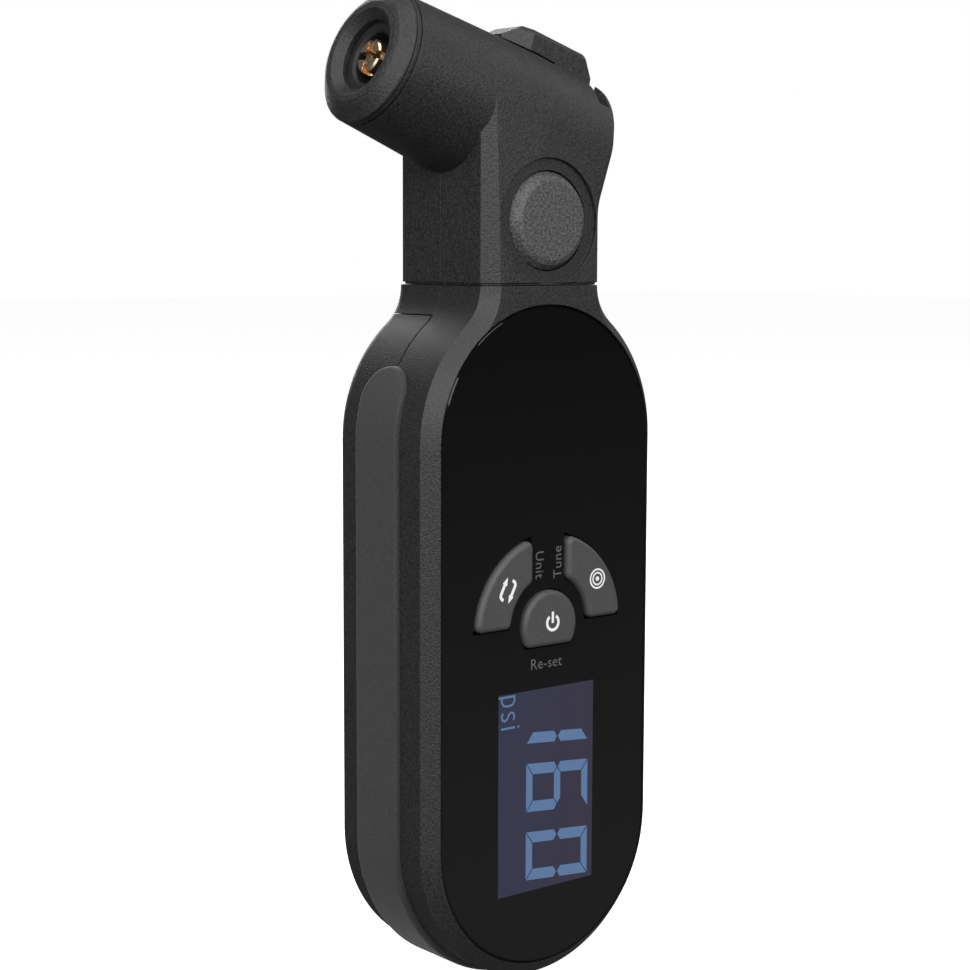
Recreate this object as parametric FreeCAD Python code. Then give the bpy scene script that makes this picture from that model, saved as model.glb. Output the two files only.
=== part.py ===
"""Hand-held digital tyre pressure gauge with a swivelling, locking valve chuck. Millimetres.

Frame: the origin is the centre of the flat back face. +Z runs along the body towards the
chuck head, and the glass front faces -Y. The barrel of the head points to -X and up.
Lengths along the barrel's axis are called s and grow towards the valve mouth; radial
distances from that axis are called r.
"""
import FreeCAD, Part
import math
import os
from FreeCAD import Vector

# --- Body -------------------------------------------------------------------------------
BODY_R = 23.0            # half the body's width, and the radius of both round ends
HALF = 30.4              # from the origin to the centre of each round end
DEPTH = 23.4             # front to back
FRONT = -DEPTH
MID = -DEPTH / 2
EDGE = 2.2               # 45 degree chamfer round the front
BACK_ROUND = 2.6
WALL = 1.8
FLOOR = 2.0              # thickness of the back
GAP = 0.4                # parting gap between the front case and the rear cover
COVER_TOP = 49.4         # flat top edge of the rear cover
PROUD = 10.0             # how far a cutting tool passes its work

# --- Neck and head ----------------------------------------------------------------------
NECK = 11.7              # half the neck's width
SHOULDER_R = 7.2         # concave radius between neck and body
SEAM = 54.0              # where the head turns on the body
HEAD_BOTTOM = SEAM + 0.08
SEAM_STEP = 0.35         # depth and height of the shadow line over the seam
COLLAR_PLATE = 51.0      # underside of the plate that closes the body's top
HEAD_FLOOR = 56.6
AXIS_Z = 78.7            # height of the barrel's axis over the neck
TILT = math.radians(19.1)
BARREL_R = 11.7
MOUTH_R = 10.3
MOUTH_S = 26.1
TAPER = (BARREL_R - MOUTH_R) / MOUTH_S
REAR_S = -15.2           # flat rear end of the barrel, square to its axis

# --- Glass, display and keys ------------------------------------------------------------
GLASS_SEAT = 1.2         # depth of the recess for the glass
GLASS_R = 20.6
GLASS_T = 1.1
SHEET_BACK = FRONT + 2.8
LCD_W, LCD_LOW, LCD_HIGH = 20.4, -40.0, -7.0
KEY_RING = (1.8, 14.5)   # centre height and radius of the side keys' outer edge
KEY_HUB = (2.2, 7.8)     # the same for their inner edge
POWER_R = 5.4
POWER_FLAT = -1.0
SIDE_FLAT = 2.4
KEY_INNER_X = 3.5
KEY_PROUD = 0.9
KEY_SOFT = 0.75           # radius round the front of each key
KEY_GAP = 0.25

# --- Grip band --------------------------------------------------------------------------
GRIP_OUT, GRIP_IN = 0.9, 0.8
GRIP_Y, GRIP_HALF, GRIP_TOP = -11.15, 5.05, 42.0

# --- Inside the body --------------------------------------------------------------------
BOARD = (-17.0, -15.8)
CELL = Vector(0, -3.8, 14.0)
CELL_R, CELL_T = 10.0, 3.2
DOOR_R = 12.5
COVER_BOSSES = [(15.8, 33.0), (-15.8, 33.0), (15.8, -33.0), (-15.8, -33.0)]
BOARD_POSTS = [(15.5, -14.0), (-15.5, -14.0), (14.0, 24.0), (-14.0, 24.0)]
COLLAR_POSTS = [(8.2, 46.4), (-8.2, 46.4)]
SWITCHES = [(-9.0, 8.4), (9.0, 8.4), (0.0, 2.2)]
SENSOR_Z = 30.0

# --- Swivel, bleed valve and lever ------------------------------------------------------
SPIGOT_R = 4.4
LAND_R = 3.6
RUN = 0.06               # running clearance of turning and sliding fits
BUTTON_Z = 63.7
BUTTON_R, BUTTON_FLAT_R = 7.4, 5.9
DISH_R, DISH_DEPTH = 9.4, 0.6
LEVER_PIVOT = (-8.6, 7.6)
HEEL_S = -13.75          # back wall of the pocket that the lever's heel turns in
NOTCH_R = 6.9            # height of the notch's floor over the axis
NOTCH_FLOOR = 1.6        # its thickness
NOTCH_S = (-12.4, -10.1)  # the notch runs right across the barrel here
NAPE_R = 10.0            # bend at the nape
LEVER_HALF = 4.4
LEVER_SOFT = 1.0          # radius round the lever's top
SLOT_HALF = 4.7
CAM_R, CAM_OFF = 3.0, 1.07
PIN_R, PIN_HALF = 1.25, 6.4
HEAD_SCREWS = [(8.15, 58.9), (-8.15, 58.9)]

# --- Chuck ------------------------------------------------------------------------------
GASKET_BORE = 3.95       # takes a 7.7 mm valve stem
CAP_HOLE = 5.37
BRASS_R = 2.6
BRASS_STEM_R = 2.2       # the part that slides in the pusher
BRASS_STEP = 21.1        # where the wider front part starts
BRASS_FRONT = 26.6
PUSHER_R = 4.9

X, Y, Z = Vector(1, 0, 0), Vector(0, 1, 0), Vector(0, 0, 1)
ALONG = Vector(-math.cos(TILT), 0, math.sin(TILT))
ACROSS = Vector(math.sin(TILT), 0, math.cos(TILT))
BARREL = Vector(0, MID, AXIS_Z)


# --- Shape helpers ----------------------------------------------------------------------
def export(name, shape):
    """Write one sub-part."""
    shape.exportStep("parts/%s.step" % name)


def group(shapes):
    """Separate solids that are one sub-part, such as a set of screws."""
    return Part.makeCompound(shapes)


def box(x, y, z):
    """Box from (low, high) pairs."""
    size = [pair[1] - pair[0] for pair in (x, y, z)]
    return Part.makeBox(size[0], size[1], size[2], Vector(x[0], y[0], z[0]))


def disc(radius, y, x=0.0, z=0.0):
    """Cylinder along Y between the two heights in y."""
    return Part.makeCylinder(radius, y[1] - y[0], Vector(x, y[0], z), Y)


def post(radius, z, x=0.0):
    """Cylinder along Z on the neck's axis plane."""
    return Part.makeCylinder(radius, z[1] - z[0], Vector(x, MID, z[0]), Z)


def barrel_point(s, r, side=0.0):
    return BARREL + ALONG * s + ACROSS * r + Y * side


def barrel_disc(radius, s):
    """Cylinder on the barrel's axis."""
    return Part.makeCylinder(radius, s[1] - s[0], barrel_point(s[0], 0), ALONG)


def turned(profile, origin, axis, radial):
    """Body of revolution from (distance along axis, radius) points."""
    points = [origin + axis * along + radial * radius for along, radius in profile]
    face = Part.Face(Part.makePolygon(points + [points[0]]))
    return face.revolve(origin, axis, 360)


def barrel_turned(profile):
    return turned(profile, BARREL, ALONG, ACROSS)


def barrel_plate(profile, side):
    """Plate in the barrel's own (s, r) plane, side to side across Y."""
    points = [barrel_point(s, r, side[0]) for s, r in profile]
    face = Part.Face(Part.makePolygon(points + [points[0]]))
    return face.extrude(Y * (side[1] - side[0]))


def ring(centre, axis, major, minor):
    return Part.makeTorus(major, minor, centre, axis)


def arc(centre, radius, start, end, y):
    """Arc in a plane of constant Y; degrees from +X towards +Z."""
    points = []
    for degrees in (start, (start + end) / 2, end):
        a = math.radians(degrees)
        points.append(Vector(centre[0] + radius * math.cos(a), y, centre[1] + radius * math.sin(a)))
    return Part.Arc(*points).toShape()


def line(a, b, y):
    return Part.makeLine(Vector(a[0], y, a[1]), Vector(b[0], y, b[1]))


def prism(edges, y):
    """Extrude a closed chain of edges, drawn at y[0], to y[1]."""
    wire = Part.Wire(Part.__sortEdges__(edges))
    return Part.Face(wire).extrude(Y * (y[1] - y[0]))


def stadium(radius, y, low=-HALF, high=HALF):
    edges = [
        arc((0, low), radius, 180, 360, y[0]),
        line((radius, low), (radius, high), y[0]),
        arc((0, high), radius, 0, 180, y[0]),
        line((-radius, high), (-radius, low), y[0]),
    ]
    return prism(edges, y)


def case_block(inset, y, top):
    """Body outline with its shoulders and neck, moved inwards by inset."""
    r, neck = BODY_R - inset, NECK - inset
    cx = NECK + SHOULDER_R
    cz = HALF + math.sqrt((BODY_R + SHOULDER_R) ** 2 - cx ** 2)
    hollow = SHOULDER_R + inset
    bend = math.degrees(math.atan2(cz - HALF, cx))
    y0 = y[0]
    edges = [
        arc((0, -HALF), r, 180, 360, y0),
        line((r, -HALF), (r, HALF), y0),
        arc((0, HALF), r, 0, bend, y0),
        arc((cx, cz), hollow, 180 + bend, 180, y0),
        line((neck, cz), (neck, top), y0),
        line((neck, top), (-neck, top), y0),
        line((-neck, top), (-neck, cz), y0),
        arc((-cx, cz), hollow, 0, -bend, y0),
        arc((0, HALF), r, 180 - bend, 180, y0),
        line((-r, HALF), (-r, -HALF), y0),
    ]
    return prism(edges, y)


def edges_at(shape, y, below):
    """Edges in the plane of this Y whose middle is under the given height."""
    near = 1e-4
    found = []
    for edge in shape.Edges:
        b = edge.BoundBox
        if abs(b.YMin - y) < near and abs(b.YMax - y) < near and b.ZMin < below:
            found.append(edge)
    return found


def spring(start, axis, mean_r, wire_r, length, turns):
    """Coil spring standing on start."""
    helix = Part.makeLongHelix(length / turns, length, mean_r)
    circle = Part.makeCircle(wire_r, Vector(mean_r, 0, 0), Y)
    coil = Part.Wire(helix.Edges).makePipeShell([Part.Wire(circle)], True, True)
    turn = FreeCAD.Rotation(Z, axis)
    coil.Placement = FreeCAD.Placement(start, turn)
    return coil


def screw(seat, into, shank_r, length, head_r, head_h):
    """Pan-head screw with a cross recess; seat is the underside of its head."""
    side = Z if abs(into.z) < 0.5 else X
    out = into * -1
    profile = [(-length, 0), (-length, 0.4 * shank_r), (0.8 - length, shank_r), (0, shank_r),
               (0, head_r), (0.6 * head_h, head_r), (head_h, 0.8 * head_r), (head_h, 0)]
    body = turned(profile, seat, out, side)
    slot_w, slot_l, deep = 0.24 * head_r, 1.1 * head_r, 0.55 * head_h
    for angle in (0, 90):
        slot = Part.makeBox(slot_w, slot_l, 2 * deep, Vector(-slot_w / 2, -slot_l / 2, -deep))
        slot.rotate(Vector(0, 0, 0), Z, angle)
        slot.Placement = FreeCAD.Placement(seat + out * head_h, FreeCAD.Rotation(Z, out)) * slot.Placement
        body = body.cut(slot)
    return body


# --- Keys -------------------------------------------------------------------------------
def side_key_block(grow, y, sign):
    """Quarter-ring key beside the hub; sign picks the side."""
    outer_z, outer_r = KEY_RING[0], KEY_RING[1] + grow
    hub_z, hub_r = KEY_HUB[0], KEY_HUB[1] - grow
    low, inner = SIDE_FLAT - grow, KEY_INNER_X - grow
    blank = disc(outer_r, y, 0, outer_z)
    blank = blank.cut(disc(hub_r, (y[0] - 1, y[1] + 1), 0, hub_z))
    side = box((inner, PROUD + outer_r), y, (low, outer_r * 2))
    if sign < 0:
        side = side.mirror(Vector(0, 0, 0), X)
    return blank.common(side)


def power_key_block(grow, y):
    r, low = POWER_R + grow, POWER_FLAT - grow
    return disc(r, y, 0, KEY_HUB[0]).common(box((-r, r), y, (low, KEY_HUB[0] + r)))


def key_blocks(grow, y):
    return [side_key_block(grow, y, -1), side_key_block(grow, y, 1), power_key_block(grow, y)]


def key_cap(block, flange):
    """Key with rounded corners, a soft front edge and a flange behind the case sheet."""
    corners = [e for e in block.Edges if e.BoundBox.XLength < 1e-4 and e.BoundBox.ZLength < 1e-4]
    block = block.makeFillet(1.1, corners)
    front = min(face.BoundBox.YMax for face in block.Faces)
    rim = [e for e in block.Edges if e.BoundBox.YMax < front + 1e-3]
    return block.makeFillet(KEY_SOFT, rim).fuse(flange)


# --- Body pieces ------------------------------------------------------------------------
def lid_cut(y, z):
    """Half-space block used to keep only what lies in the given Y and Z spans."""
    return box((-60, 60), y, z)


def grip_mask(grow):
    """Side view of the grip band: a strip with a round top."""
    half, top = GRIP_HALF + grow, GRIP_TOP + grow
    strip = box((-60, 60), (GRIP_Y - half, GRIP_Y + half), (-60, top - half))
    cap = Part.makeCylinder(half, 120, Vector(-60, GRIP_Y, top - half), X)
    return strip.fuse(cap)


def grip_ring(out, deep, grow):
    y = (GRIP_Y - GRIP_HALF - grow, GRIP_Y + GRIP_HALF + grow)
    outer = stadium(BODY_R + out, y)
    inner = stadium(BODY_R - deep, (y[0] - 1, y[1] + 1))
    return outer.cut(inner).common(grip_mask(grow))


def make_grip_band():
    band = grip_ring(GRIP_OUT, GRIP_IN, 0.0)
    rim = [e for e in band.Edges if on_grip_rim(e)]
    return band.makeFillet(0.55, rim)


def on_grip_rim(edge):
    """True for the edges between the band's outer skin and its sides."""
    for vertex in edge.Vertexes:
        p = vertex.Point
        reach = max(abs(p.z) - HALF, 0.0)
        if abs(math.hypot(p.x, reach) - BODY_R - GRIP_OUT) > 1e-3:
            return False
    b = edge.BoundBox
    flat = b.YLength < 1e-4 and min(abs(b.YMin - GRIP_Y + GRIP_HALF), abs(b.YMin - GRIP_Y - GRIP_HALF)) < 1e-3
    return flat or (b.ZMin > GRIP_TOP - 2 * GRIP_HALF and b.YLength > 1)


def make_front_case():
    block = case_block(0, (FRONT, MID), SEAM + 6)
    block = block.makeChamfer(EDGE, edges_at(block, FRONT, SEAM + 5.9))
    block = block.common(lid_cut((FRONT, MID), (-60, SEAM)))
    cavity = case_block(WALL, (SHEET_BACK, MID + 1), COLLAR_PLATE)
    block = block.cut(cavity.common(lid_cut((SHEET_BACK, MID + 1), (-60, COLLAR_PLATE))))
    block = block.cut(lid_cut((MID - GAP / 2, MID + 1), (-60, COVER_TOP)))
    for x, z in COVER_BOSSES + COLLAR_POSTS:
        block = block.fuse(disc(2.4, (SHEET_BACK - 0.2, MID - GAP / 2), x, z))
        block = block.cut(disc(0.95, (-19.8, MID + 1), x, z))
    for x, z in BOARD_POSTS:
        block = block.fuse(disc(2.0, (SHEET_BACK - 0.2, BOARD[0]), x, z))
        block = block.cut(disc(0.75, (-20.2, MID + 1), x, z))
    block = block.cut(stadium(GLASS_R + 0.2, (FRONT - 1, FRONT + GLASS_SEAT)))
    window = (FRONT, SHEET_BACK + 0.5)
    half = LCD_W / 2 + 0.2
    block = block.cut(box((-half, half), window, (LCD_LOW - 0.2, LCD_HIGH + 0.2)))
    for hole in key_blocks(KEY_GAP, window):
        block = block.cut(hole)
    block = block.cut(grip_ring(GRIP_OUT + 1, GRIP_IN, 0.03))
    return block.cut(post(SPIGOT_R + 0.02, (COLLAR_PLATE - 1, SEAM + 1)))


def rear_block():
    """Back half of the body before it is divided into cover and collar."""
    block = case_block(0, (MID, 0), SEAM + 6)
    return block.makeFillet(BACK_ROUND, edges_at(block, 0.0, SEAM + 5.9))


def make_rear_cover():
    block = rear_block().common(lid_cut((MID + GAP / 2, 0), (-60, COVER_TOP)))
    block = block.cut(case_block(WALL, (MID, -FLOOR), SEAM + 6))
    lip_y = (MID - 0.9, -FLOOR - 1)
    lip = case_block(WALL - 0.3, lip_y, SEAM + 6).cut(case_block(WALL + 0.8, lip_y, SEAM + 6))
    lip = lip.cut(case_block(-1, (MID - 2, MID + GAP / 2), SEAM + 6).cut(
        case_block(WALL + 0.05, (MID - 2, MID + GAP / 2), SEAM + 6)))
    block = block.fuse(lip.common(lid_cut((MID - 1, 0), (-60, 43.0))))
    for x, z in COVER_BOSSES:
        block = block.fuse(disc(3.2, (MID + GAP / 2, -FLOOR + 0.2), x, z))
        block = block.cut(disc(1.15, (MID - 1, 1), x, z))
        block = block.cut(disc(2.25, (-6.0, 1), x, z))
    block = block.fuse(disc(DOOR_R + 1.4, (-3.4, -FLOOR + 0.2), 0, CELL.z))
    block = block.cut(disc(11.4, (-PROUD, 1), 0, CELL.z))
    block = block.cut(disc(DOOR_R + 0.1, (-1.25, 1), 0, CELL.z))
    return block.cut(grip_ring(GRIP_OUT + 1, GRIP_IN, 0.03))


def make_collar_rear():
    base = COVER_TOP + 0.15
    block = rear_block().common(lid_cut((MID, 0), (base, SEAM)))
    inner = case_block(WALL, (MID - 1, -WALL), SEAM + 6)
    block = block.cut(inner.common(lid_cut((MID - 1, 0), (-60, COLLAR_PLATE))))
    tongue = case_block(WALL + 0.85, (MID, -3.0), SEAM + 6).cut(case_block(WALL + 2.0, (MID - 1, -4.4), SEAM + 6))
    block = block.fuse(tongue.common(lid_cut((MID, 0), (43.4, COLLAR_PLATE + 0.2))))
    for x, z in COLLAR_POSTS:
        block = block.fuse(disc(2.4, (MID, -4.0), x, z))
        block = block.cut(disc(1.1, (MID - 1, 1), x, z))
        block = block.cut(disc(2.1, (-9.0, 1), x, z))
    return block.cut(post(SPIGOT_R + 0.02, (COLLAR_PLATE - 1, SEAM + 1)))


def make_lens_panel():
    y = (FRONT + 0.05, FRONT + 0.05 + GLASS_T)
    panel = stadium(GLASS_R, y)
    panel = panel.makeChamfer(0.3, edges_at(panel, y[0], SEAM))
    for hole in key_blocks(KEY_GAP, (FRONT - 1, y[1] + 1)):
        panel = panel.cut(hole)
    return panel


def make_keys():
    front = (FRONT - KEY_PROUD, SHEET_BACK + 0.4)
    flange = (SHEET_BACK + 0.1, SHEET_BACK + 0.9)
    names = ("unit_key", "tune_key", "power_key")
    for name, block, wide in zip(names, key_blocks(0, front), key_blocks(0.8, flange)):
        export(name, key_cap(block, wide))


# --- Display and electronics ------------------------------------------------------------
def make_display():
    half = LCD_W / 2
    seat = FRONT + GLASS_SEAT
    export("lcd_cell", box((-half, half), (seat, SHEET_BACK), (LCD_LOW, LCD_HIGH)))
    rear = SHEET_BACK + 0.05
    export("lcd_backlight", box((-11.5, 11.5), (rear, rear + 2.0), (-38.2, -8.8)))
    frame = box((-13.0, 13.0), (rear, BOARD[0]), (-43.5, -3.5))
    frame = frame.cut(box((-11.6, 11.6), (rear - 1, rear + 2.05), (-38.3, -8.7)))
    strips = []
    for low in (-40.2, -8.2):
        frame = frame.cut(box((-9.4, 9.4), (rear - 1, BOARD[0] + 1), (low - 0.1, low + 1.5)))
        strips.append(box((-9.2, 9.2), (rear, BOARD[0]), (low, low + 1.4)))
    for x in (-1, 1):
        frame = frame.cut(box((min(7 * x, 11 * x), max(7 * x, 11 * x)), (rear + 1, BOARD[0] + 1), (-36, -11)))
    export("lcd_frame", frame)
    export("connector_strips", group(strips))


def make_board():
    board = stadium(BODY_R - WALL - 1.4, BOARD)
    board = board.common(lid_cut(BOARD, (-45.0, 38.5)))
    for x, z in COVER_BOSSES:
        board = board.cut(disc(3.0, (BOARD[0] - 1, BOARD[1] + 1), x, z))
    for x, z in BOARD_POSTS:
        board = board.cut(disc(0.9, (BOARD[0] - 1, BOARD[1] + 1), x, z))
    export("main_board", board)
    back = BOARD[1]
    chips = [
        box((-5, 5), (back, back + 1.4), (-30, -20)),
        box((-12, -7), (back, back + 1.2), (-12, -8)),
        box((8, 12), (back, back + 1.6), (-30, -26)),
    ]
    for step in range(5):
        low = -24.0 + 3.2 * step
        chips.append(box((8, 10), (back, back + 0.8), (low, low + 1.2)))
    export("board_chips", group(chips))
    switches = []
    for x, z in SWITCHES:
        body = box((x - 2.5, x + 2.5), (BOARD[0] - 1.5, BOARD[0]), (z - 2.5, z + 2.5))
        switches.append(body.fuse(disc(1.3, (BOARD[0] - 1.95, BOARD[0] - 1.4), x, z)))
    export("tact_switches", group(switches))
    export("board_screws", group([screw(Vector(x, back, z), Y * -1, 0.7, 3.6, 1.5, 1.0) for x, z in BOARD_POSTS]))


def make_sensor():
    body = box((-4.5, 4.5), (BOARD[1], BOARD[1] + 6.2), (SENSOR_Z - 3.5, SENSOR_Z + 3.5))
    barb = turned([(3.3, 0), (3.3, 1.5), (5.4, 1.5), (5.6, 1.75), (7.0, 1.35), (7.0, 0)],
                  Vector(0, MID, SENSOR_Z), Z, X)
    body = body.fuse(barb)
    export("pressure_sensor", body.cut(post(0.7, (SENSOR_Z, SENSOR_Z + PROUD))))
    tube = post(2.5, (SENSOR_Z + 3.7, 43.6))
    export("air_tube", tube.cut(post(1.77, (SENSOR_Z, SENSOR_Z + 20))))


def make_battery():
    z = CELL.z
    low, high = CELL.y - CELL_T, CELL.y
    export("coin_cell", coin_cell(low, high, z))
    cup = disc(11.3, (BOARD[1], high - 0.4), 0, z)
    cup = cup.cut(disc(CELL_R + 0.35, (low - 0.7, 0), 0, z))
    cup = cup.cut(disc(9.6, (BOARD[1] - 1, low - 1.9), 0, z))
    cup = cup.cut(box((-3.2, 3.2), (low - 3, low - 0.3), (z - 9.0, z - 2.0)))
    cup = cup.cut(box((-2.6, 2.6), (BOARD[1] - 1, 0), (z - 13, z - 9.8)))
    export("battery_holder", cup)
    leaf = box((-2.5, 2.5), (low - 0.65, low - 0.45), (z - 8.6, z + 6.0))
    leaf = leaf.fuse(box((-1.0, 1.0), (low - 0.5, low), (z - 1, z + 1)))
    leg = box((-1.2, 1.2), (BOARD[1], low - 0.45), (z - 8.6, z - 8.3))
    export("battery_contact_minus", leaf.fuse(leg))
    clip = box((-2.2, 2.2), (BOARD[1], high - 0.1), (z - 11.2, z - 10.9))
    clip = clip.fuse(box((-1.6, 1.6), (high - 0.3, high - 0.1), (z - 11.0, z - 10.5)))
    export("battery_contact_plus", clip.fuse(box((-1.2, 1.2), (low + 1, low + 1.6), (z - 11.0, z - 10.02))))
    door = disc(DOOR_R, (-1.2, -0.1), 0, z)
    door = door.fuse(disc(11.3, (-3.6, -1.1), 0, z))
    door = door.cut(disc(9.9, (-4, -1.9), 0, z))
    groove = disc(12, (-3.0, -1.9), 0, z).cut(disc(10.7, (-4, 0), 0, z))
    door = door.cut(groove.common(disc(11.35, (-4, 0), 0, z)))
    slot = box((-7.0, 7.0), (-1.1, 1), (z - 0.85, z + 0.85))
    export("battery_door", door.cut(slot))
    export("door_seal", ring(Vector(0, -2.45, z), Y, 11.05, 0.34))


def coin_cell(low, high, z):
    profile = [(low, 0), (low, 8.7), (low + 0.35, 8.7), (low + 0.35, 9.2), (low + 0.7, CELL_R),
               (high - 0.3, CELL_R), (high, CELL_R - 0.3), (high, 0)]
    return turned(profile, Vector(0, 0, z), Y, X)


# --- Swivel -----------------------------------------------------------------------------
def make_spigot():
    profile = [(40.6, 0), (40.6, 1.4), (41.8, 1.75), (42.0, 1.5), (44.2, 1.5), (44.2, 2.6),
               (COLLAR_PLATE - 0.3, 2.6), (COLLAR_PLATE - 0.3, SPIGOT_R), (HEAD_FLOOR + 0.05, SPIGOT_R),
               (HEAD_FLOOR + 0.05, 5.9), (HEAD_FLOOR + 1.4, 5.9), (HEAD_FLOOR + 1.4, LAND_R),
               (59.0, LAND_R), (59.0, 2.95), (60.0, 2.95), (60.0, LAND_R), (60.8, LAND_R), (60.8, 0)]
    body = turned(profile, Vector(0, MID, 0), Z, X)
    body = body.fuse(box((-5.5, 5.5), (MID - 5.5, MID + 5.5), (48.9, COLLAR_PLATE - 0.05)))
    export("swivel_spigot", body.cut(post(0.8, (40, 62))))
    export("spigot_seal", ring(Vector(0, MID, 59.5), Z, 3.29, 0.335))


# --- Head housing -----------------------------------------------------------------------
def nape(y):
    """Back profile of the neck: upright, then square to the barrel's axis; returns edges and their end."""
    rear = barrel_point(REAR_S, 0)
    corner_z = rear.z - (rear.x - NECK) / math.tan(TILT)
    reach = NAPE_R * math.tan(TILT / 2)
    bent = (NECK + NAPE_R * (1 - math.cos(TILT)), corner_z - reach + NAPE_R * math.sin(TILT))
    edges = [
        line((NECK, HEAD_BOTTOM), (NECK, corner_z - reach), y),
        arc((NECK + NAPE_R, corner_z - reach), NAPE_R, 180, 180 - math.degrees(TILT), y),
        line(bent, (rear.x, rear.z), y),
    ]
    return edges, (rear.x, rear.z)


def head_block():
    """Neck block under the barrel, up to the barrel's axis."""
    edges, end = nape(FRONT)
    front_end = (-NECK, AXIS_Z + NECK * math.tan(TILT))
    edges += [
        line((-NECK, HEAD_BOTTOM), (NECK, HEAD_BOTTOM), FRONT),
        line(end, front_end, FRONT),
        line(front_end, (-NECK, HEAD_BOTTOM), FRONT),
    ]
    block = prism(edges, (FRONT, 0))
    sides = []
    for edge in block.Edges:
        b = edge.BoundBox
        if b.YLength < 1e-4 and b.ZLength > 1 and b.ZLength > 1.5 * b.XLength:
            sides.append(edge)
    block = block.makeChamfer(EDGE, sides)
    # both broad faces lean in by the barrel's taper, so that they stay tangent to it
    reach = 60.0
    for face, out in ((FRONT, -1), (0.0, 1)):
        lean = face - out * TAPER * reach
        corners = [(0, face), (reach, lean), (reach, face + out * PROUD), (0, face + out * PROUD)]
        points = [barrel_point(s, -reach, y - MID) for s, y in corners]
        wedge = Part.Face(Part.makePolygon(points + [points[0]])).extrude(ACROSS * 2 * reach)
        block = block.cut(wedge)
    return block


def head_outer():
    barrel = barrel_turned([(REAR_S, 0), (REAR_S, BARREL_R - EDGE), (REAR_S + EDGE, BARREL_R), (0, BARREL_R),
                            (MOUTH_S - 0.1, MOUTH_R), (MOUTH_S - 0.1, 0)])
    groove = barrel_turned([(25.1, MOUTH_R - 0.3), (25.1, 12), (25.45, 12), (25.45, MOUTH_R - 0.3)])
    return barrel.cut(groove).fuse(head_block())


def seam_groove():
    """Shadow line round the foot of the head."""
    half, corner = NECK - SEAM_STEP, EDGE - 0.6 * SEAM_STEP
    points = []
    for sx, sy in ((1, 1), (-1, 1), (-1, -1), (1, -1)):
        pair = [(half, half - corner), (half - corner, half)]
        if sx * sy < 0:
            pair.reverse()
        points += [Vector(sx * a, MID + sy * b, HEAD_BOTTOM) for a, b in pair]
    core = Part.Face(Part.makePolygon(points + [points[0]])).extrude(Z * SEAM_STEP)
    return box((-2 * NECK, 2 * NECK), (FRONT - 1, 1), (HEAD_BOTTOM, HEAD_BOTTOM + SEAM_STEP)).cut(core)


def head_hollow():
    bore = barrel_turned([(HEEL_S, 0), (HEEL_S, 8.8), (-12.4, 9.8), (2, 9.8), (10, 9.2), (40, 9.2), (40, 0)])
    neck = NECK - WALL
    points = [Vector(x, FRONT + WALL, z) for x, z in
              ((-neck, HEAD_FLOOR), (neck, HEAD_FLOOR), (neck, 74.0), (-neck, 80.0))]
    room = Part.Face(Part.makePolygon(points + [points[0]])).extrude(Y * (DEPTH - 2 * WALL))
    return bore.fuse(room)


def make_head():
    shell = head_outer().cut(head_hollow())
    # wall that the button turns in
    shell = shell.fuse(disc(DISH_R, (FRONT + WALL - 0.2, FRONT + 2.7), 0, BUTTON_Z))
    for x, z in HEAD_SCREWS:
        shell = shell.fuse(disc(1.9, (-17.0, -WALL + 0.2), x, z))
        shell = shell.cut(disc(0.9, (-16.2, 1), x, z))
        shell = shell.cut(disc(1.75, (-5.0, 1), x, z))
    shell = shell.cut(disc(DISH_R, (FRONT - 1, FRONT + DISH_DEPTH), 0, BUTTON_Z))
    shell = shell.cut(disc(BUTTON_R + 0.15, (FRONT - 1, FRONT + 5.5), 0, BUTTON_Z))
    # floor of the notch, on both sides of the lever's pocket
    back, front = NOTCH_S
    low = NOTCH_R - NOTCH_FLOOR
    floor = [(back - 0.4, low), (front + 0.2, low), (front + 0.2, NOTCH_R), (back - 0.4, NOTCH_R)]
    shell = shell.fuse(barrel_plate(floor, (-BARREL_R, BARREL_R)).common(head_outer()))
    slot = [(-24, NOTCH_R), (HEEL_S, NOTCH_R), (HEEL_S, 2), (-3.5, 2), (-3.5, 18), (-24, 18)]
    shell = shell.cut(barrel_plate(slot, (-SLOT_HALF, SLOT_HALF)))
    notch = [(back, NOTCH_R), (front, NOTCH_R), (front, 18), (back, 18)]
    shell = shell.cut(barrel_plate(notch, (-PROUD - BARREL_R, PROUD + BARREL_R)))
    pin = barrel_point(LEVER_PIVOT[0], LEVER_PIVOT[1], -PIN_HALF)
    shell = shell.cut(Part.makeCylinder(PIN_R + 0.01, 2 * PIN_HALF, pin, Y))
    shell = shell.cut(post(SPIGOT_R + RUN, (HEAD_BOTTOM - 1, HEAD_FLOOR + 1)))
    split = 0.05
    shell = shell.cut(seam_groove())
    export("head_front", shell.common(box((-60, 60), (-40, MID - split), (40, 120))))
    export("head_rear", shell.common(box((-60, 60), (MID + split, 10), (40, 120))))


# --- Chuck ------------------------------------------------------------------------------
def make_chuck_body():
    body = barrel_disc(8.2, (-2.5, 12.0)).fuse(barrel_disc(9.15, (10.5, 24.5)))
    body = body.fuse(post(5.2, (58.5, 76.0)))
    body = body.fuse(disc(3.4, (-18.0, MID), 0, BUTTON_Z))
    body = body.cut(barrel_disc(9.4, (-14, -2.5)))
    body = body.cut(barrel_disc(8.25, (12.0, 30)))
    body = body.cut(barrel_disc(PUSHER_R + 0.05, (-5, 13)))
    body = body.cut(barrel_disc(7.0, (-5, 0.5)))
    body = body.cut(post(LAND_R + 0.04, (58, 61.0)))
    body = body.cut(post(3.2, (60.9, 66.5)))
    body = body.cut(disc(1.28, (-18.5, MID), 0, BUTTON_Z))
    foot, port = Vector(-2.4, MID, 65.0), Vector(-5.6, MID, 76.6)
    return body.cut(Part.makeCylinder(1.0, (port - foot).Length, foot, port - foot))


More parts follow.
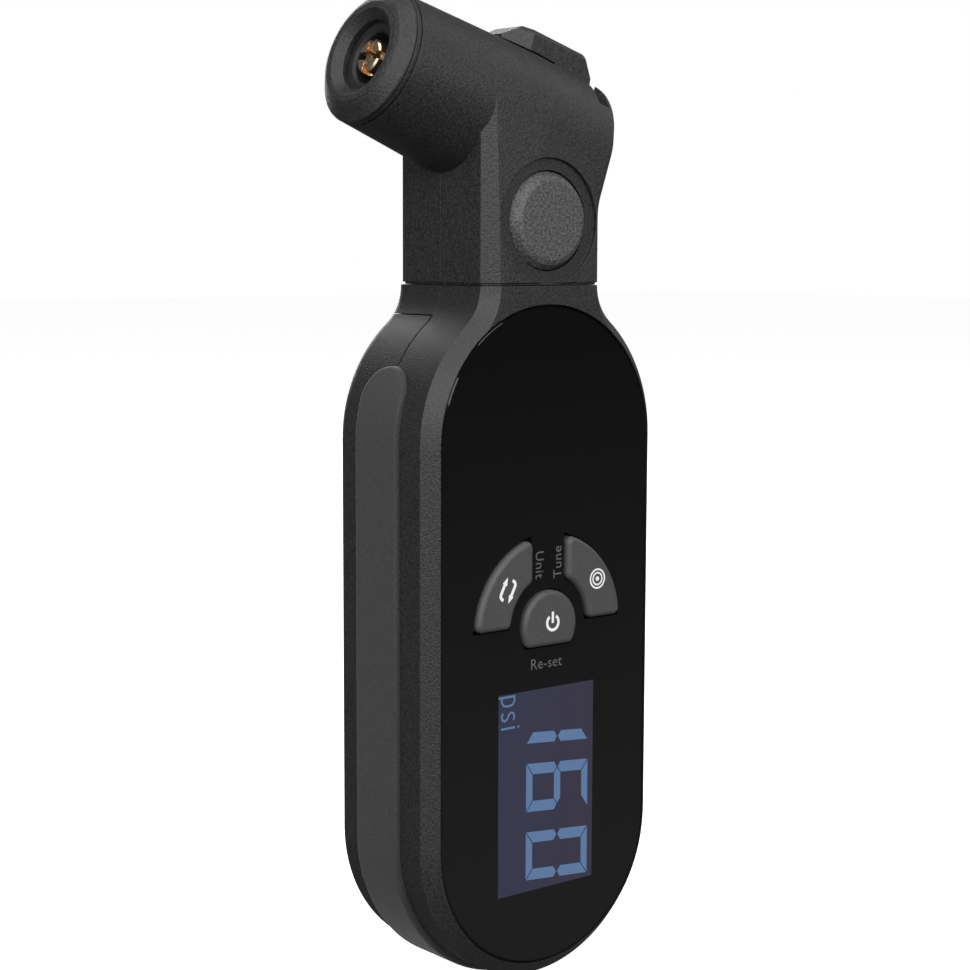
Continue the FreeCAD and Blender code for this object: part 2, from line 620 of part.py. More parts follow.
def make_chuck():
    export("chuck_body", make_chuck_body())
    cap = [(20.2, 7.3), (20.2, 8.2), (26.15, 8.2), (26.15, MOUTH_R), (26.5, 10.2), (27.9, 8.4), (28.2, 7.7),
           (28.2, 6.7), (26.95, CAP_HOLE), (26.1, CAP_HOLE), (26.1, 7.3)]
    export("chuck_cap", barrel_turned(cap))
    gasket = [(19.9, GASKET_BORE + 0.4), (19.9, 7.25), (26.0, 7.25), (26.0, GASKET_BORE + 0.4), (25.6, GASKET_BORE),
              (20.3, GASKET_BORE)]
    export("valve_gasket", barrel_turned(gasket))


def make_pusher():
    profile = [(-6.1, 0), (-6.1, 8.4), (-4.3, 8.4), (-4.3, PUSHER_R), (0.6, PUSHER_R), (0.6, 4.1), (1.8, 4.1),
               (1.8, PUSHER_R), (6.9, PUSHER_R), (6.9, 4.1), (8.1, 4.1), (8.1, PUSHER_R), (15.5, PUSHER_R),
               (15.5, 7.2), (18.5, 7.2), (18.5, BRASS_STEM_R + RUN), (16.5, BRASS_STEM_R + RUN), (16.5, 3.0),
               (9.5, 3.0), (9.5, 1.6), (2.4, 1.6), (2.4, 0)]
    pusher = barrel_turned(profile)
    cross = Part.makeCylinder(0.8, 12, barrel_point(3.6, -6), ACROSS)
    export("gasket_pusher", pusher.cut(cross))
    seals = [ring(barrel_point(s, 0), ALONG, 4.5, 0.42) for s in (1.2, 7.5)]
    export("pusher_seals", group(seals))
    export("pusher_spring", spring(barrel_point(-3.75, 0), ALONG, 6.0, 0.4, 3.7, 2.0))


def make_depressor():
    profile = [(15.1, 0), (15.1, 2.93), (16.45, 2.93), (16.45, BRASS_STEM_R), (BRASS_STEP, BRASS_STEM_R),
               (BRASS_STEP, BRASS_R), (BRASS_FRONT - 0.25, BRASS_R), (BRASS_FRONT, BRASS_R - 0.25), (BRASS_FRONT, 0)]
    brass = barrel_turned(profile).cut(barrel_disc(1.1, (14, 28)))
    half = 0.6
    for way in (ACROSS, Y):
        other = Y if way == ACROSS else ACROSS
        base = barrel_point(25.2, 0) - way * half - other * 4
        corners = [base, base + way * 2 * half, base + way * 2 * half + other * 8, base + other * 8]
        slot = Part.Face(Part.makePolygon(corners + [base])).extrude(ALONG * 4)
        brass = brass.cut(slot)
    export("valve_depressor", brass)
    export("depressor_spring", spring(barrel_point(9.8, 0), ALONG, 2.55, 0.22, 5.0, 5.0))


def make_lever():
    s0, r0 = LEVER_PIVOT
    plate = [(5.9, 10.2), (5.95, 12.0), (3.1, 14.4), (-8.9, 14.8), (-11.4, 11.6), (-11.8, 8.6), (-8.6, 6.0),
             (-6.3, 7.0), (-6.3, 9.2), (-4.0, 10.2)]
    lever = barrel_plate(plate, (-LEVER_HALF, LEVER_HALF))
    half = LEVER_HALF
    plan = [(-14, -half), (1.5, -half), (6.5, -2.0), (6.5, 2.0), (1.5, half), (-14, half)]
    points = [barrel_point(s, 0, side) for s, side in plan]
    lever = lever.common(Part.Face(Part.makePolygon(points + [points[0]])).extrude(ACROSS * 20))
    crown = [e for e in lever.Edges if min((v.Point - BARREL).dot(ACROSS) for v in e.Vertexes) > 14]
    lever = lever.makeFillet(LEVER_SOFT, crown)
    # the underside is hollowed to sit just over the barrel
    gap_r = BARREL_R + 0.2
    over = barrel_turned([(-3.8, 0), (-3.8, gap_r), (0, gap_r), (9, gap_r - 9 * TAPER), (9, 0)])
    lever = lever.cut(over)
    low = math.radians(232.5)
    cam = barrel_point(s0 + CAM_OFF * math.cos(low), r0 + CAM_OFF * math.sin(low), -LEVER_HALF)
    lever = lever.fuse(Part.makeCylinder(CAM_R, 2 * LEVER_HALF, cam, Y))
    lever = lever.cut(Part.makeCylinder(PIN_R + RUN, 20, barrel_point(s0, r0, -10), Y))
    export("lock_lever", lever)
    export("lever_pin", Part.makeCylinder(PIN_R, 2 * PIN_HALF, barrel_point(s0, r0, -PIN_HALF), Y))


# --- Bleed valve ------------------------------------------------------------------------
def make_bleed():
    centre = Vector(0, 0, BUTTON_Z)
    face = FRONT - 0.6
    profile = [(face, 0), (face, BUTTON_FLAT_R), (face + 0.35, BUTTON_FLAT_R + 0.75), (face + 1.5, BUTTON_R),
               (-20.6, BUTTON_R), (-20.6, 8.0), (-19.6, 8.0), (-19.6, 6.4), (-22.3, 6.4), (-22.3, 0)]
    button = turned(profile, centre, Y, X)
    # the flange is flat at the bottom, over the floor of the head
    button = button.cut(box((-PROUD, PROUD), (-20.65, -19.0), (HEAD_FLOOR - 5, HEAD_FLOOR + 0.4)))
    export("bleed_button", button)
    stem = [(-22.3, 0), (-22.3, 1.2), (-14.0, 1.2), (-14.0, 1.8), (-13.0, 1.8), (-13.0, 0)]
    export("bleed_stem", turned(stem, centre, Y, X))
    export("bleed_seal", ring(centre + Y * -14.27, Y, 1.47, 0.25))
    export("bleed_spring", spring(centre + Y * -22.05, Y, 2.4, 0.22, 3.8, 4.0))


# --- Fasteners --------------------------------------------------------------------------
def make_screws():
    into = Y * -1
    cover = [screw(Vector(x, -6.0, z), into, 1.0, 12.5, 2.1, 1.6) for x, z in COVER_BOSSES]
    collar = [screw(Vector(x, -9.0, z), into, 1.0, 9.5, 1.9, 1.3) for x, z in COLLAR_POSTS]
    head = [screw(Vector(x, -5.0, z), into, 0.9, 10.8, 1.65, 1.3) for x, z in HEAD_SCREWS]
    export("cover_screws", group(cover))
    export("collar_screws", group(collar))
    export("head_screws", group(head))


def main():
    os.makedirs("parts", exist_ok=True)
    export("front_case", make_front_case())
    export("rear_cover", make_rear_cover())
    export("collar_rear", make_collar_rear())
    export("grip_band", make_grip_band())
    export("lens_panel", make_lens_panel())
    make_keys()
    make_display()
    make_board()
    make_sensor()
    make_battery()
    make_spigot()
    make_head()
    make_chuck()
    make_pusher()
    make_depressor()
    make_lever()
    make_bleed()
    make_screws()


main()
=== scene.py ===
import math

import bmesh
import bpy
from mathutils import Matrix, Vector


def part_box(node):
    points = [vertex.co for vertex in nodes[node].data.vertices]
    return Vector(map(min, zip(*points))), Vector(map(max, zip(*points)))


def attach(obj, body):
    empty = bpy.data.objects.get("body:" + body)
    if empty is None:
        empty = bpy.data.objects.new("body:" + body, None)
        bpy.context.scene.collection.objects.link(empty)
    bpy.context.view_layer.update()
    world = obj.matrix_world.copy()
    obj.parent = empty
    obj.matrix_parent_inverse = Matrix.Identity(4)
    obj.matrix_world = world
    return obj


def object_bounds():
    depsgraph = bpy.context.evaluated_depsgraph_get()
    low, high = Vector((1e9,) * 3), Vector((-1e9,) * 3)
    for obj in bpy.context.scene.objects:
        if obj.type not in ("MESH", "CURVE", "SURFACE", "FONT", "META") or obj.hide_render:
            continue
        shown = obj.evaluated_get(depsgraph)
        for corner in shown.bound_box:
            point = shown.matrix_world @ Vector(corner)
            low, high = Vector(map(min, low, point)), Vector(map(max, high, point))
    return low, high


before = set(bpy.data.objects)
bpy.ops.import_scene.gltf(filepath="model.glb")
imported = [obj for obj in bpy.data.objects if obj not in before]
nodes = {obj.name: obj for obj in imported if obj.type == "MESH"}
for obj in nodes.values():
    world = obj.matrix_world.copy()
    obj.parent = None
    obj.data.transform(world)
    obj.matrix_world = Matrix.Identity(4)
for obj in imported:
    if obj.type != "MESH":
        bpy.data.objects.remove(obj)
cad_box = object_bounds()
MM = 0.001

# --- Places read from the CAD model -------------------------------------------------------
GLASS_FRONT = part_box("lens_panel")[0].y
KEY_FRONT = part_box("power_key")[0].y
FLOOR_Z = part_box("front_case")[0].z - 1.0 * MM
CENTRE = (cad_box[0] + cad_box[1]) / 2


# --- Shader helpers -----------------------------------------------------------------------
class Shader:
    """A Principled material that is built up one node at a time."""

    def __init__(self, name, colour, roughness, metallic=0.0, specular=0.5):
        self.material = bpy.data.materials.new(name)
        self.material.use_nodes = True
        self.tree = self.material.node_tree
        self.tree.nodes.clear()
        self.out = self.add("ShaderNodeOutputMaterial")
        self.bsdf = self.add("ShaderNodeBsdfPrincipled")
        self.link(self.bsdf.outputs[0], self.out.inputs["Surface"])
        self.set("Base Color", (*colour, 1.0))
        self.set("Roughness", roughness)
        self.set("Metallic", metallic)
        self.set("Specular IOR Level", specular)
        self.place = self.add("ShaderNodeTexCoord").outputs["Object"]
        self.normal = None

    def add(self, kind, **settings):
        node = self.tree.nodes.new(kind)
        for key, value in settings.items():
            setattr(node, key, value)
        return node

    def link(self, a, b):
        self.tree.links.new(a, b)

    def set(self, socket, value):
        self.bsdf.inputs[socket].default_value = value

    def noise(self, size_mm, detail=2.0, roughness=0.5):
        """Noise whose features are about size_mm across."""
        node = self.add("ShaderNodeTexNoise")
        node.inputs["Scale"].default_value = 1.0 / (size_mm * MM)
        node.inputs["Detail"].default_value = detail
        node.inputs["Roughness"].default_value = roughness
        self.link(self.place, node.inputs["Vector"])
        return node.outputs["Fac"]

    def remap(self, source, low, high, to_low, to_high):
        node = self.add("ShaderNodeMapRange")
        for name, value in (("From Min", low), ("From Max", high), ("To Min", to_low), ("To Max", to_high)):
            node.inputs[name].default_value = value
        self.link(source, node.inputs["Value"])
        return node.outputs["Result"]

    def math(self, kind, a, b=None):
        node = self.add("ShaderNodeMath", operation=kind)
        for socket, value in zip(node.inputs, (a, b)):
            if value is None:
                continue
            if isinstance(value, (int, float)):
                socket.default_value = value
            else:
                self.link(value, socket)
        return node.outputs[0]

    def blend(self, factor, a, b):
        """Colour a where factor is 0 and b where it is 1."""
        node = self.add("ShaderNodeMix", data_type="RGBA")
        for socket, value in ((node.inputs[6], a), (node.inputs[7], b)):
            if isinstance(value, tuple):
                socket.default_value = (*value, 1.0)
            else:
                self.link(value, socket)
        self.link(factor, node.inputs[0])
        return node.outputs[2]

    def colour_from(self, source):
        self.link(source, self.bsdf.inputs["Base Color"])

    def roughness_from(self, source):
        self.link(source, self.bsdf.inputs["Roughness"])

    def rounded_edges(self, radius_mm):
        node = self.add("ShaderNodeBevel", samples=6)
        node.inputs["Radius"].default_value = radius_mm * MM
        self.normal = node.outputs["Normal"]
        self.link(self.normal, self.bsdf.inputs["Normal"])

    def bump(self, height, depth_mm, strength=1.0):
        node = self.add("ShaderNodeBump")
        node.inputs["Distance"].default_value = depth_mm * MM
        node.inputs["Strength"].default_value = strength
        self.link(height, node.inputs["Height"])
        if self.normal is not None:
            self.link(self.normal, node.inputs["Normal"])
        self.normal = node.outputs["Normal"]
        self.link(self.normal, self.bsdf.inputs["Normal"])

    def split(self):
        node = self.add("ShaderNodeSeparateXYZ")
        self.link(self.place, node.inputs[0])
        return node.outputs


def moulded(name, colour, roughness, grain_mm, depth_mm, edge_mm=0.2, specular=0.5, fleck=0.25):
    """Spark-eroded moulded plastic: fine pits, faint gloss patches and softened edges."""
    s = Shader(name, colour, roughness, specular=specular)
    s.rounded_edges(edge_mm)
    grain = s.noise(grain_mm, detail=3.0, roughness=0.6)
    patches = s.noise(9.0, detail=2.0)
    pits = s.remap(grain, 0.3, 0.7, -0.08, 0.08)
    gloss = s.remap(patches, 0.3, 0.7, roughness - 0.03, roughness + 0.03)
    s.roughness_from(s.math("ADD", pits, gloss))
    dark = tuple(c * (1 - fleck) for c in colour)
    light = tuple(c * (1 + fleck) for c in colour)
    s.colour_from(s.blend(s.remap(grain, 0.35, 0.65, 0.0, 1.0), dark, light))
    s.bump(grain, depth_mm)
    return s


# --- Materials ----------------------------------------------------------------------------
case_plastic = moulded("case_plastic", (0.020, 0.020, 0.021), 0.46, 0.34, 0.085, 0.18, fleck=0.45)
head_plastic = moulded("head_plastic", (0.020, 0.020, 0.021), 0.48, 0.34, 0.100, 0.18, fleck=0.6)
key_plastic = moulded("key_plastic", (0.066, 0.066, 0.066), 0.55, 0.20, 0.025, 0.15, fleck=0.15)
button_plastic = moulded("button_plastic", (0.070, 0.070, 0.070), 0.50, 0.40, 0.130, 0.15, fleck=0.6)
inner_plastic = moulded("inner_plastic", (0.014, 0.014, 0.015), 0.50, 0.35, 0.025, 0.15)

grip_rubber = moulded("grip_rubber", (0.028, 0.028, 0.029), 0.72, 0.30, 0.040, 0.25, fleck=0.35)
grip_rubber.set("Sheen Weight", 0.25)
grip_rubber.set("Sheen Roughness", 0.5)
seal_rubber = moulded("seal_rubber", (0.012, 0.012, 0.012), 0.62, 0.30, 0.015, 0.15)

brass = Shader("brass", (0.62, 0.40, 0.20), 0.30, metallic=1.0)
brass.rounded_edges(0.08)
brushed = brass.noise(0.12, detail=2.0)
tarnish = brass.noise(1.4, detail=3.0)
dulled = brass.remap(tarnish, 0.35, 0.7, 0.0, 1.0)
brass.colour_from(brass.blend(dulled, (0.92, 0.72, 0.50), (0.70, 0.50, 0.32)))
brass.roughness_from(brass.remap(tarnish, 0.3, 0.7, 0.24, 0.42))
brass.bump(brushed, 0.006)

steel = Shader("steel", (0.42, 0.42, 0.43), 0.32, metallic=1.0)
steel.rounded_edges(0.1)
steel.roughness_from(steel.remap(steel.noise(0.6, detail=3.0), 0.3, 0.7, 0.22, 0.42))
steel.bump(steel.noise(0.15), 0.004)

# Black glass over the whole front. The display's window is a paler area of its clear ink.
lens_glass = Shader("lens_glass", (0.004, 0.004, 0.0042), 0.045, specular=0.22)
x, y, z = lens_glass.split()
WINDOW_X, WINDOW_LOW, WINDOW_HIGH = 9.67 * MM, -39.3 * MM, -7.7 * MM
FUZZ = 0.04 * MM
GLASS_TOP = 45 * MM
across = lens_glass.remap(lens_glass.math("ABSOLUTE", x), WINDOW_X - FUZZ, WINDOW_X + FUZZ, 1.0, 0.0)
above = lens_glass.remap(z, WINDOW_LOW - FUZZ, WINDOW_LOW + FUZZ, 0.0, 1.0)
below = lens_glass.remap(z, WINDOW_HIGH - FUZZ, WINDOW_HIGH + FUZZ, 1.0, 0.0)
front = lens_glass.remap(y, GLASS_FRONT + FUZZ / 2, GLASS_FRONT + 1.5 * FUZZ, 1.0, 0.0)
inside = lens_glass.math("MULTIPLY", across, above)
inside = lens_glass.math("MULTIPLY", inside, lens_glass.math("MULTIPLY", below, front))
sideways = lens_glass.remap(x, -WINDOW_X, WINDOW_X, 0.0, 1.0)
tint = lens_glass.blend(sideways, (0.036, 0.040, 0.070), (0.042, 0.036, 0.060))
# Painted reflection: outside the display window, the glass colour is painted paler low down and darker
# towards its top, standing in for a reflected gradient.
reflection_rise = lens_glass.remap(z, WINDOW_LOW, GLASS_TOP, 0.0, 1.0)
painted_reflection = lens_glass.blend(reflection_rise, (0.0120, 0.0128, 0.0120), (0.0035, 0.0036, 0.0036))
lens_glass.colour_from(lens_glass.blend(inside, painted_reflection, (0.002, 0.002, 0.002)))
lens_glass.link(lens_glass.blend(inside, (0.0, 0.0, 0.0), tint), lens_glass.bsdf.inputs["Emission Color"])
lens_glass.set("Emission Strength", 1.0)
lens_glass.bump(lens_glass.noise(14.0, detail=1.0), 0.01, strength=0.2)

lcd_glass = Shader("lcd_glass", (0.10, 0.12, 0.11), 0.1)
lcd_glass.bump(lcd_glass.noise(6.0), 0.003)
light_guide = Shader("light_guide", (0.7, 0.75, 0.8), 0.2)
light_guide.bump(light_guide.noise(0.8), 0.01)

circuit_board = Shader("circuit_board", (0.012, 0.075, 0.035), 0.35)
tracks = circuit_board.noise(1.1, detail=4.0)
circuit_board.colour_from(circuit_board.blend(circuit_board.remap(tracks, 0.45, 0.55, 0.0, 1.0),
                                              (0.010, 0.070, 0.032), (0.016, 0.105, 0.048)))
circuit_board.bump(tracks, 0.02)
chip_black = moulded("chip_black", (0.016, 0.016, 0.017), 0.5, 0.2, 0.01, 0.05)
conductive_rubber = moulded("conductive_rubber", (0.20, 0.16, 0.13), 0.7, 0.2, 0.01, 0.05)
clear_silicone = Shader("clear_silicone", (0.62, 0.62, 0.60), 0.35)
clear_silicone.set("Subsurface Weight", 0.2)
clear_silicone.bump(clear_silicone.noise(0.5), 0.01)

FINISHES = {
    "case_plastic": (case_plastic, ["front_case", "collar_rear", "rear_cover"]),
    "head_plastic": (head_plastic, ["head_front", "head_rear", "chuck_cap", "lock_lever"]),
    "grip_rubber": (grip_rubber, ["grip_band"]),
    "lens_glass": (lens_glass, ["lens_panel"]),
    "key_plastic": (key_plastic, ["unit_key", "tune_key", "power_key"]),
    "button_plastic": (button_plastic, ["bleed_button"]),
    "seal_rubber": (seal_rubber, ["valve_gasket", "spigot_seal", "pusher_seals", "bleed_seal", "door_seal"]),
    "brass": (brass, ["valve_depressor", "swivel_spigot", "bleed_stem"]),
    "inner_plastic": (inner_plastic, ["chuck_body", "gasket_pusher", "battery_holder", "lcd_frame",
                                      "battery_door"]),
    "steel": (steel, ["lever_pin", "cover_screws", "collar_screws", "head_screws", "board_screws",
                      "coin_cell", "battery_contact_minus", "battery_contact_plus", "pusher_spring",
                      "depressor_spring", "bleed_spring", "pressure_sensor"]),
    "lcd_glass": (lcd_glass, ["lcd_cell"]),
    "light_guide": (light_guide, ["lcd_backlight"]),
    "circuit_board": (circuit_board, ["main_board"]),
    "chip_black": (chip_black, ["board_chips", "tact_switches"]),
    "conductive_rubber": (conductive_rubber, ["connector_strips"]),
    "clear_silicone": (clear_silicone, ["air_tube"]),
}
for shader, members in FINISHES.values():
    for member in members:
        slots = nodes[member].data.materials
        slots.clear()
        slots.append(shader.material)


# --- Printed marks ------------------------------------------------------------------------
def ink(name, colour, glow=0.0, roughness=0.5):
    """Print with a slight mottle; glow is the share of its colour that it gives off by itself."""
    s = Shader(name, colour, roughness, specular=0.3)
    mottle = s.noise(0.25, detail=2.0)
    share = 1.0 - glow
    s.colour_from(s.blend(s.remap(mottle, 0.3, 0.7, 0.0, 1.0), tuple(c * 0.92 * share for c in colour),
                          tuple(c * share for c in colour)))
    if glow:
        s.set("Emission Color", (*colour, 1.0))
        s.set("Emission Strength", glow)
    s.bump(mottle, 0.003)
    return s.material


# The white and grey print carry a painted glow: part of their colour comes from emission rather than from
# the lamps.
white_ink = ink("white_ink", (0.90, 0.90, 0.89), glow=0.5)
grey_ink = ink("grey_ink", (0.115, 0.118, 0.115), glow=0.4)
digit_ink = ink("digit_ink", (0.112, 0.192, 0.345), glow=0.85, roughness=0.25)
digit_edge_ink = ink("digit_edge_ink", (0.030, 0.055, 0.150), glow=0.85, roughness=0.25)


def plate(name, outlines, front, thickness, material, body):
    """Thin flat print, facing -Y. Each outline is a closed list of (x, z) points in millimetres."""
    mesh = bmesh.new()
    for outline in outlines:
        near = [mesh.verts.new((px * MM, front, pz * MM)) for px, pz in outline]
        far = [mesh.verts.new((px * MM, front + thickness, pz * MM)) for px, pz in outline]
        mesh.faces.new(near)
        mesh.faces.new(far[::-1])
        for i in range(len(near)):
            j = (i + 1) % len(near)
            mesh.faces.new((near[j], near[i], far[i], far[j]))
    bmesh.ops.recalc_face_normals(mesh, faces=mesh.faces)
    data = bpy.data.meshes.new(name)
    mesh.to_mesh(data)
    mesh.free()
    data.materials.append(material)
    piece = bpy.data.objects.new(name, data)
    bpy.context.scene.collection.objects.link(piece)
    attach(piece, body)


def band(path, width, closed=False):
    """Outlines of a stroke of constant width along a path, one four-sided piece per step."""
    points = [Vector(p) for p in path]
    count = len(points)
    sides = []
    for i, point in enumerate(points):
        before = points[i - 1] if (closed or i) else point
        after = points[(i + 1) % count] if (closed or i < count - 1) else point
        way = (after - before).normalized()
        off = Vector((-way.y, way.x)) * width / 2
        sides.append((point + off, point - off))
    steps = count if closed else count - 1
    pieces = []
    for i in range(steps):
        a, b = sides[i], sides[(i + 1) % count]
        pieces.append([a[0], b[0], b[1], a[1]])
    return pieces


def stroke(path, width, closed=False):
    """One outline of a stroke: there along one side and back along the other."""
    pieces = band(path, width, closed)
    if closed:
        return pieces
    left = [p[0] for p in pieces] + [pieces[-1][1]]
    right = [p[3] for p in pieces] + [pieces[-1][2]]
    return [left + right[::-1]]


def circle(centre, radius, count=48):
    return [(centre[0] + radius * math.cos(2 * math.pi * i / count),
             centre[1] + radius * math.sin(2 * math.pi * i / count)) for i in range(count)]


def arc(centre, radius, start, end, count=24):
    angles = [math.radians(start + (end - start) * i / count) for i in range(count + 1)]
    return [(centre[0] + radius * math.cos(a), centre[1] + radius * math.sin(a)) for a in angles]


# --- Display: three slanted seven-segment digits, read with the object lying on its side ---
CELL_STARTS = (9.4, 20.2, 31.0)   # where the digits start along the reading direction
CELL_WIDTH = 7.6
DIGIT_LOW, DIGIT_HIGH = -4.1, 8.6
SLANT = math.tan(math.radians(5))
UPRIGHT, LEVEL = 1.7, 1.28        # width of the upright and of the level segments
SPLIT = 0.13                      # gap between neighbouring segments
SEGMENTS = {"0": "abcdef", "1": "bc", "6": "acdefg"}


def digit(character, start, g):
    """Outlines of one digit, its segments g short of their joints.

    Points are worked out as (reading direction, up) and then turned.
    """
    height = DIGIT_HIGH - DIGIT_LOW
    middle = height / 2
    u, l, w = UPRIGHT, LEVEL, CELL_WIDTH
    half = l / 2
    shapes = {
        "a": [(g, height), (w - g, height), (w - u - g, height - l), (u + g, height - l)],
        "d": [(u + g, l), (w - u - g, l), (w - g, 0), (g, 0)],
        "g": [(u * 0.5 + g, middle), (u + g, middle + half), (w - u - g, middle + half),
              (w - u * 0.5 - g, middle), (w - u - g, middle - half), (u + g, middle - half)],
        "f": [(0, height - g), (u, height - l - g), (u, middle + half + g), (u * 0.5, middle + g),
              (0, middle + half)],
        "b": [(w, height - g), (w, middle + half), (w - u * 0.5, middle + g), (w - u, middle + half + g),
              (w - u, height - l - g)],
        "e": [(0, g), (0, middle - half), (u * 0.5, middle - g), (u, middle - half - g), (u, l + g)],
        "c": [(w, g), (w - u, l + g), (w - u, middle - half - g), (w - u * 0.5, middle - g),
              (w, middle - half)],
    }
    out = []
    for key in SEGMENTS[character]:
        out.append([(DIGIT_LOW + v, -(start + t + (v - height) * SLANT)) for t, v in shapes[key]])
    return out


PRINT = 0.02 * MM         # how far the prints stand out of their face
PRINT_DEPTH = 1.5 * PRINT  # their thickness, so that they reach into it
for name, gap, height, material in (("display_joints", 0.0, PRINT / 2, digit_edge_ink),
                                    ("display_digits", SPLIT, PRINT, digit_ink)):
    digits = []
    for character, start in zip("160", CELL_STARTS):
        digits += digit(character, start, gap)
    plate(name, digits, GLASS_FRONT - height, height * 1.5, material, "body")


def display_letters():
    """The unit psi under the digits, as thin strokes: points are (reading direction, up)."""
    thick, tall, base = 0.32, 2.75, -9.15
    stem = [(0.16, -0.5), (0.16, tall)]
    bowl = [(0.16, tall - 0.16), (0.9, tall - 0.1), (1.45, tall - 0.5), (1.6, tall / 2), (1.45, 0.5),
            (0.9, 0.1), (0.16, 0.16)]
    curl = [(1.35, tall - 0.35), (0.85, tall - 0.12), (0.3, tall - 0.35), (0.15, tall - 0.8),
            (0.45, tall / 2 + 0.15), (1.05, tall / 2 - 0.15), (1.4, 0.75), (1.2, 0.25), (0.65, 0.1),
            (0.1, 0.35)]
    post = [(0.2, 0.0), (0.2, tall)]
    dot = [(0.04, tall + 0.5), (0.36, tall + 0.5), (0.36, tall + 0.85), (0.04, tall + 0.85)]
    placed = [(7.95, stroke(stem, thick) + stroke(bowl, thick)), (10.4, stroke(curl, thick)),
              (12.75, stroke(post, thick) + [dot])]
    out = []
    for start, outlines in placed:
        for outline in outlines:
            out.append([(base + v, -(start + t)) for t, v in outline])
    return out


plate("display_unit", display_letters(), GLASS_FRONT - PRINT, PRINT_DEPTH, digit_ink, "body")


CAPITAL = 1.7             # height of a capital letter in millimetres
CAPITAL_SHARE = 0.72      # its share of the font's size
LETTER_SIZE = CAPITAL / CAPITAL_SHARE * MM


def lettering(name, text, start, reading):
    """Plain lettering on the glass. Start is the left end of its baseline (x, z), reading its direction."""
    curve = bpy.data.curves.new(name, "FONT")
    curve.body = text
    curve.size = LETTER_SIZE
    curve.space_character = 1.05
    curve.extrude = PRINT / 2
    curve.resolution_u = 6
    made = bpy.data.objects.new(name + "_curve", curve)
    bpy.context.scene.collection.objects.link(made)
    bpy.context.view_layer.update()
    data = bpy.data.meshes.new_from_object(made.evaluated_get(bpy.context.evaluated_depsgraph_get()))
    bpy.data.objects.remove(made)
    along = Vector((reading[0], 0.0, reading[1])).normalized()
    towards = Vector((0.0, -1.0, 0.0))
    up = towards.cross(along)
    turn = Matrix((along, up, towards)).transposed().to_4x4()
    turn.translation = Vector((start[0] * MM, GLASS_FRONT, start[1] * MM))
    data.transform(turn)
    data.materials.clear()
    data.materials.append(grey_ink)
    piece = bpy.data.objects.new(name, data)
    bpy.context.scene.collection.objects.link(piece)
    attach(piece, "body")


DOWN, UP, RIGHT = (0.0, -1.0), (0.0, 1.0), (1.0, 0.0)
lettering("legend_unit", "Unit", (-2.4, 13.8), DOWN)
lettering("legend_tune", "Tune", (2.8, 9.2), UP)
lettering("legend_reset", "Re-set", (-3.4, -4.5), RIGHT)

# --- Key icons ----------------------------------------------------------------------------
ICON_FRONT = KEY_FRONT - PRINT
TARGET = (9.5, 8.5)
rings = stroke(circle(TARGET, 1.47), 0.27, True)
rings += stroke(circle(TARGET, 0.93), 0.25, True)
rings += [circle(TARGET, 0.36)]
plate("icon_tune", rings, ICON_FRONT, PRINT_DEPTH, white_ink, "tune")

POWER = (0.3, 2.6)
power = stroke(arc(POWER, 1.15, 125, 415), 0.45)
power += stroke([(POWER[0], POWER[1] - 0.05), (POWER[0], POWER[1] + 1.7)], 0.45)
plate("icon_power", power, ICON_FRONT, PRINT_DEPTH, white_ink, "power")

CYCLE = Vector((-8.7, 8.5))
LEAN = Matrix.Rotation(math.radians(-28), 2)


def cycle_arrow(turn):
    """Half of the two-arrow sign: a hooked shaft and a head, turned about the sign's centre."""
    spin = LEAN @ Matrix.Rotation(math.radians(turn), 2)
    shaft = arc((-0.35, -1.05), 0.62, 290, 180, 8) + [(-0.97, 0.55)]
    head = [(-1.45, 0.5), (-0.97, 1.75), (-0.49, 0.5)]
    outlines = stroke(shaft, 0.5) + [head]
    return [[CYCLE + spin @ Vector(p) for p in outline] for outline in outlines]


arrows = cycle_arrow(0) + cycle_arrow(180)
plate("icon_unit", arrows, ICON_FRONT, PRINT_DEPTH, white_ink, "unit")

# --- Floor, light and camera --------------------------------------------------------------
FLOOR_GLOW = 0.88         # brings the paper floor up to white
FLOOR_SIZE = 8.0
ROOM_LIGHT = 0.10         # even light that the object gets from all round

floor_shader = Shader("floor", (0.92, 0.92, 0.92), 0.6, specular=0.2)
floor_shader.set("Emission Color", (1.0, 1.0, 1.0, 1.0))
floor_shader.set("Emission Strength", FLOOR_GLOW)
bpy.ops.mesh.primitive_plane_add(size=FLOOR_SIZE, location=(0, 0, FLOOR_Z))
floor = bpy.context.object
floor.name = "floor"
floor.data.materials.append(floor_shader.material)
floor.visible_diffuse = False
floor.visible_glossy = False

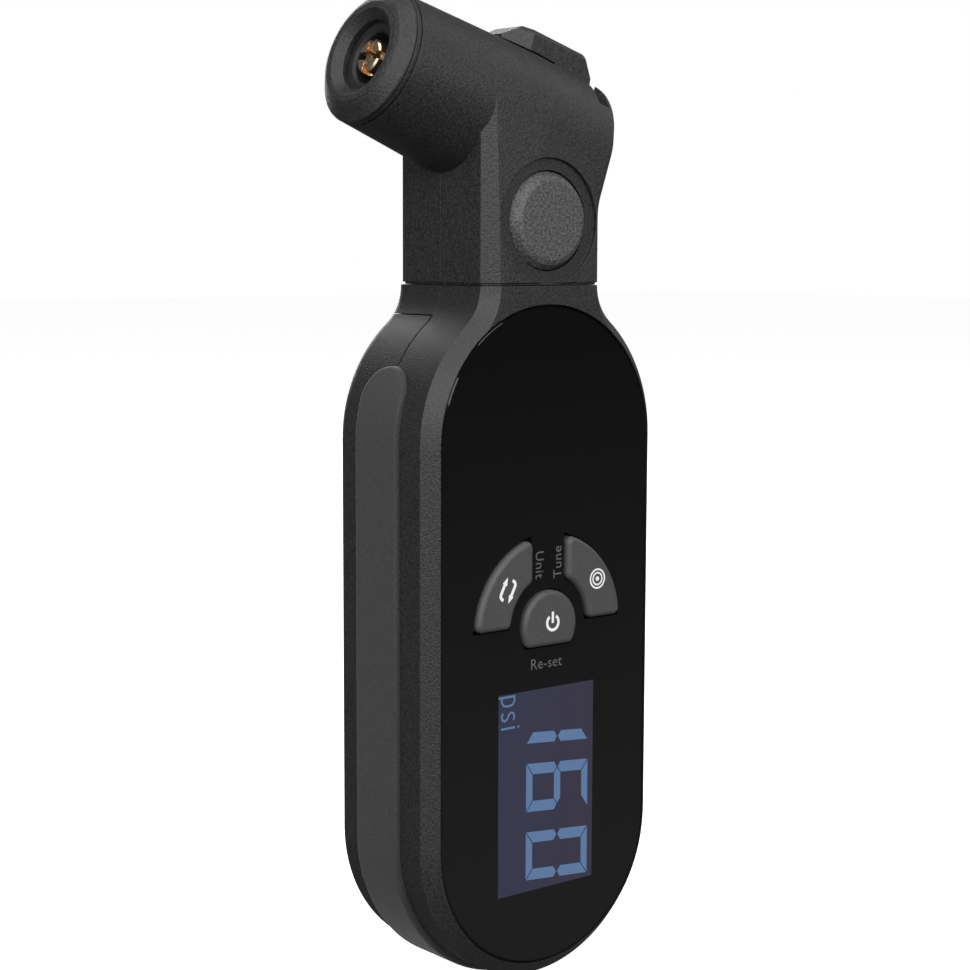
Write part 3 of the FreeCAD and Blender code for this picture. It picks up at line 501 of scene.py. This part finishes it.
world = bpy.data.worlds.new("studio")
bpy.context.scene.world = world
world.use_nodes = True
tree = world.node_tree
tree.nodes.clear()
output = tree.nodes.new("ShaderNodeOutputWorld")
seen = tree.nodes.new("ShaderNodeBackground")
felt = tree.nodes.new("ShaderNodeBackground")
mix = tree.nodes.new("ShaderNodeMixShader")
rays = tree.nodes.new("ShaderNodeLightPath")
seen.inputs["Color"].default_value = (1, 1, 1, 1)
seen.inputs["Strength"].default_value = 1.0
felt.inputs["Color"].default_value = (1, 1, 1, 1)
felt.inputs["Strength"].default_value = ROOM_LIGHT
tree.links.new(rays.outputs["Is Camera Ray"], mix.inputs[0])
tree.links.new(felt.outputs[0], mix.inputs[1])
tree.links.new(seen.outputs[0], mix.inputs[2])
tree.links.new(mix.outputs[0], output.inputs["Surface"])


def area_light(name, place, target, width, height, power):
    data = bpy.data.lights.new(name, "AREA")
    data.shape = "RECTANGLE"
    data.size = width
    data.size_y = height
    data.energy = power
    light = bpy.data.objects.new(name, data)
    light.location = Vector(place)
    light.rotation_euler = (Vector(target) - Vector(place)).to_track_quat("-Z", "Y").to_euler()
    bpy.context.scene.collection.objects.link(light)


area_light("left_box", (-0.80, -0.15, 0.25), CENTRE, 0.4, 0.6, 3.2)
area_light("front_left_box", (-0.50, -0.70, 0.40), CENTRE, 0.4, 0.5, 3.8)
area_light("front_box", (0.05, -0.85, 0.35), CENTRE, 0.5, 0.5, 3.7)
area_light("top_box", (-0.1, -0.15, 0.80), CENTRE, 0.5, 0.5, 2.7)
area_light("right_box", (0.75, -0.10, 0.45), CENTRE, 0.3, 0.6, 0.9)
area_light("back_box", (0.3, 0.8, 0.4), CENTRE, 0.6, 0.6, 4.0)

camera_data = bpy.data.cameras.new("camera")
camera_data.lens = 75.485
camera_data.sensor_width = 36.0
camera_data.clip_start = 0.01
camera_data.clip_end = 50.0
camera = bpy.data.objects.new("camera", camera_data)
RIGHTWARD = Vector((0.77233, -0.63522, 0.00317))
UPWARD = Vector((0.07009, 0.09018, 0.99346))
FORWARD = Vector((0.63135, 0.76705, -0.11417))
look = Matrix((RIGHTWARD, UPWARD, -FORWARD)).transposed().to_4x4()
look.translation = Vector((-203.185, -255.055, 59.137)) * MM
camera.matrix_world = look
bpy.context.scene.collection.objects.link(camera)
bpy.context.scene.camera = camera
bpy.context.scene.view_settings.view_transform = "Standard"

bpy.context.view_layer.update()
